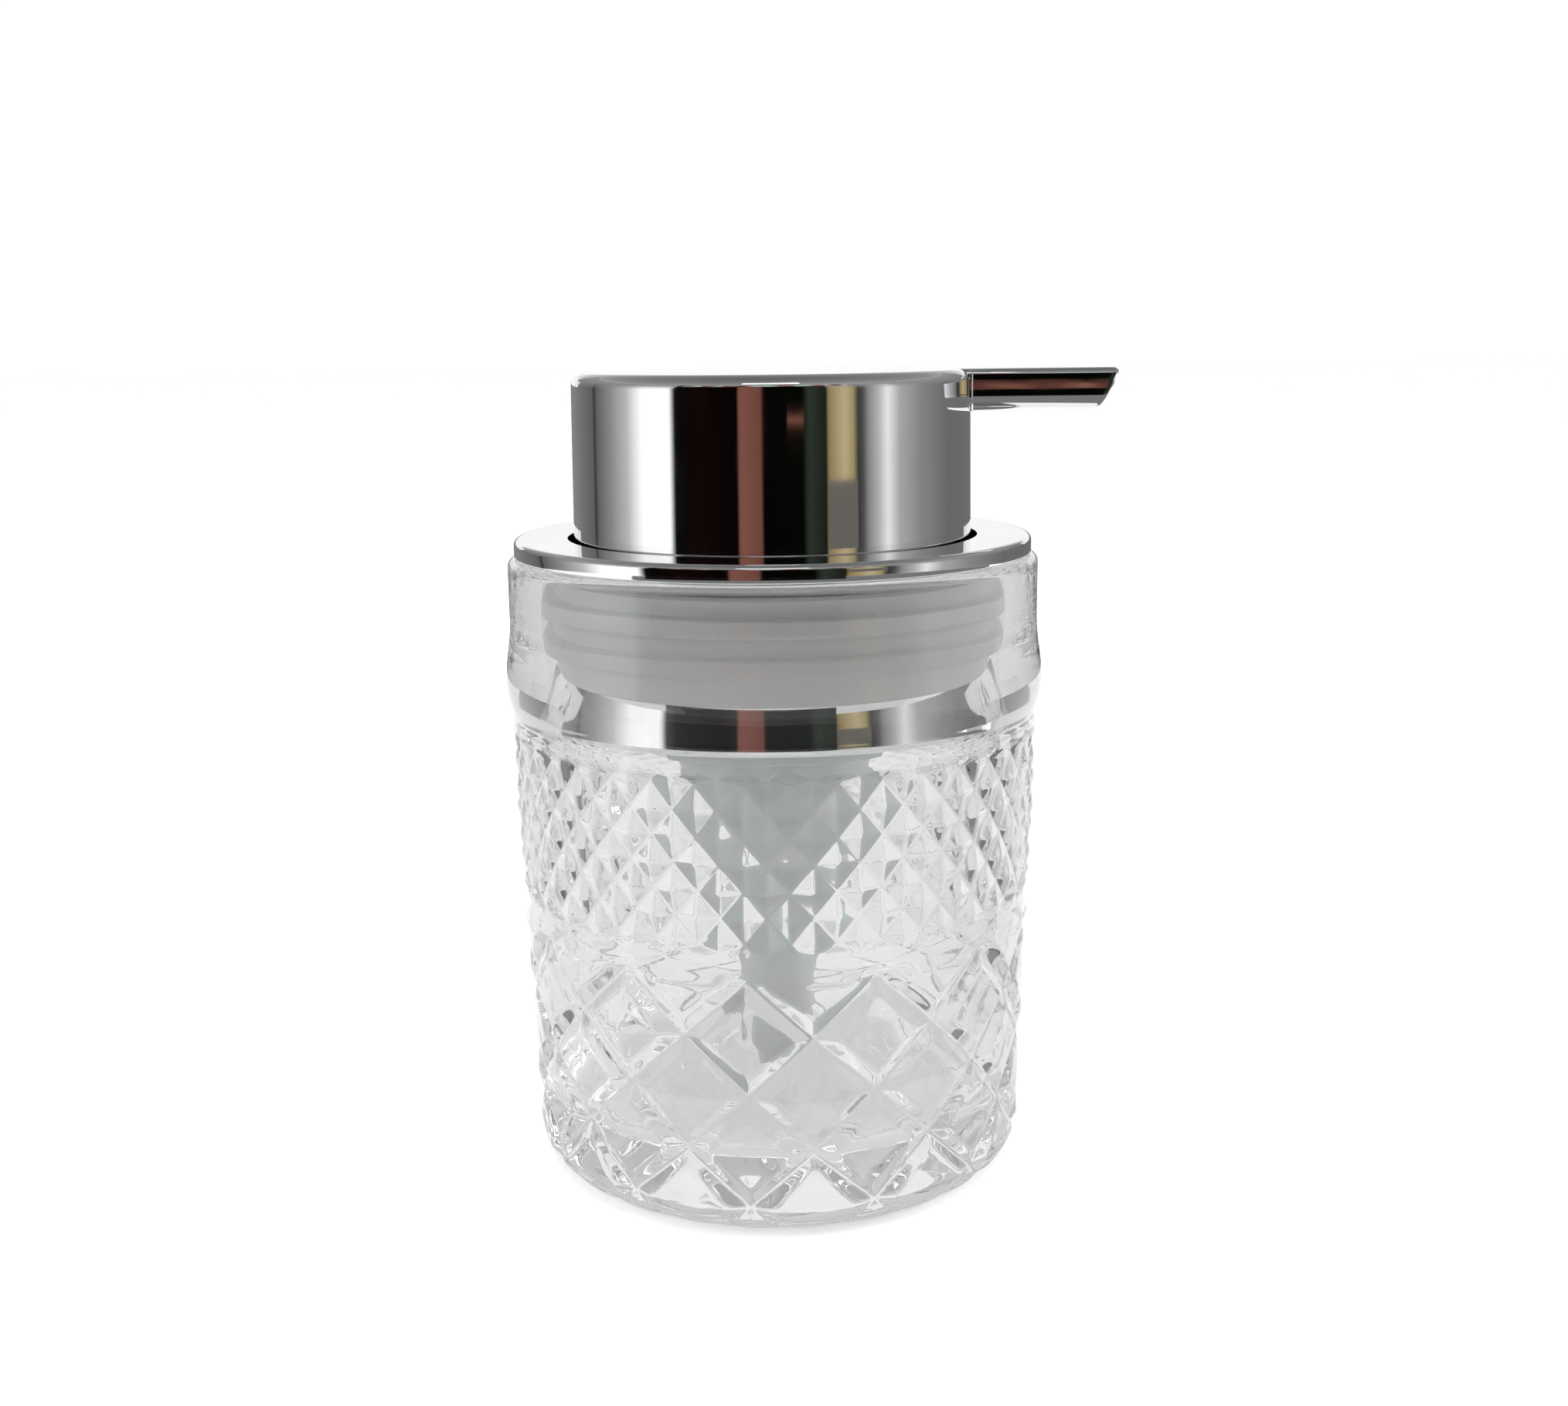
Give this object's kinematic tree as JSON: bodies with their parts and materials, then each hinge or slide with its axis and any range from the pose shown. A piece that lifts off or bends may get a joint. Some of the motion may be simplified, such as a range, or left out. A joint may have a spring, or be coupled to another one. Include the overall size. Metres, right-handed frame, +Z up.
{
  "type": "soap pump dispenser",
  "caption": "Cut-glass soap jar with a chrome plug-in cup, a round sprung press head that swivels, and a flush side spout fed by a plastic pump engine and dip tube.",
  "frame": {"origin": "centre of the jar's flat underside, on the axis of the jar and the pump", "axes": "+Z up along the pump's axis, +X along the spout as it rests, +Y completes the right-handed frame"},
  "size_m": [0.0852, 0.0756, 0.112],
  "materials": {
    "clear_glass": "clear pressed glass, polished",
    "chrome": "mirror chrome",
    "seal_plastic": "soft translucent white, satin",
    "frosted_plastic": "frosted natural plastic, satin",
    "white_plastic": "white moulded plastic",
    "gasket_rubber": "grey soft rubber",
    "steel": "drawn stainless steel"
  },
  "bodies": {
    "jar": {"glass_jar": "clear_glass"},
    "insert": {"mouth_seal": "seal_plastic", "chrome_cup": "chrome", "floor_gasket": "gasket_rubber", "clamp_ring": "frosted_plastic", "pump_housing": "frosted_plastic", "guide_cap": "white_plastic", "stem_wiper": "gasket_rubber", "ball_cage": "white_plastic", "dip_tube": "frosted_plastic", "return_spring": "steel"},
    "pistons": {"liquid_piston": "white_plastic", "air_piston": "white_plastic"},
    "head": {"press_head": "chrome", "spout": "chrome", "discharge_tube": "white_plastic", "head_core": "white_plastic", "stem": "white_plastic"},
    "outlet_ball": {"outlet_ball": "steel"},
    "inlet_ball": {"inlet_ball": "steel"}
  },
  "joints": [
    {"name": "insert_lift", "type": "slide", "parent": "jar", "child": "insert", "axis": [0, 0, 1], "range_m": [0, 0.08]},
    {"name": "head_press", "type": "slide", "parent": "insert", "child": "pistons", "axis": [0, 0, -1], "range_m": [0, 0.013], "stiffness_N_per_m": 500, "springref_m": -0.01, "deforming": ["return_spring"]},
    {"name": "head_swivel", "type": "hinge", "parent": "pistons", "child": "head", "pos_m": [0, 0, 0.1], "axis": [0, 0, 1], "continuous": true},
    {"name": "outlet_ball_lift", "type": "slide", "parent": "pistons", "child": "outlet_ball", "axis": [0, 0, 1], "range_m": [0, 0.0008]},
    {"name": "inlet_ball_lift", "type": "slide", "parent": "insert", "child": "inlet_ball", "axis": [0, 0, 1], "range_m": [0, 0.0006]}
  ]
}
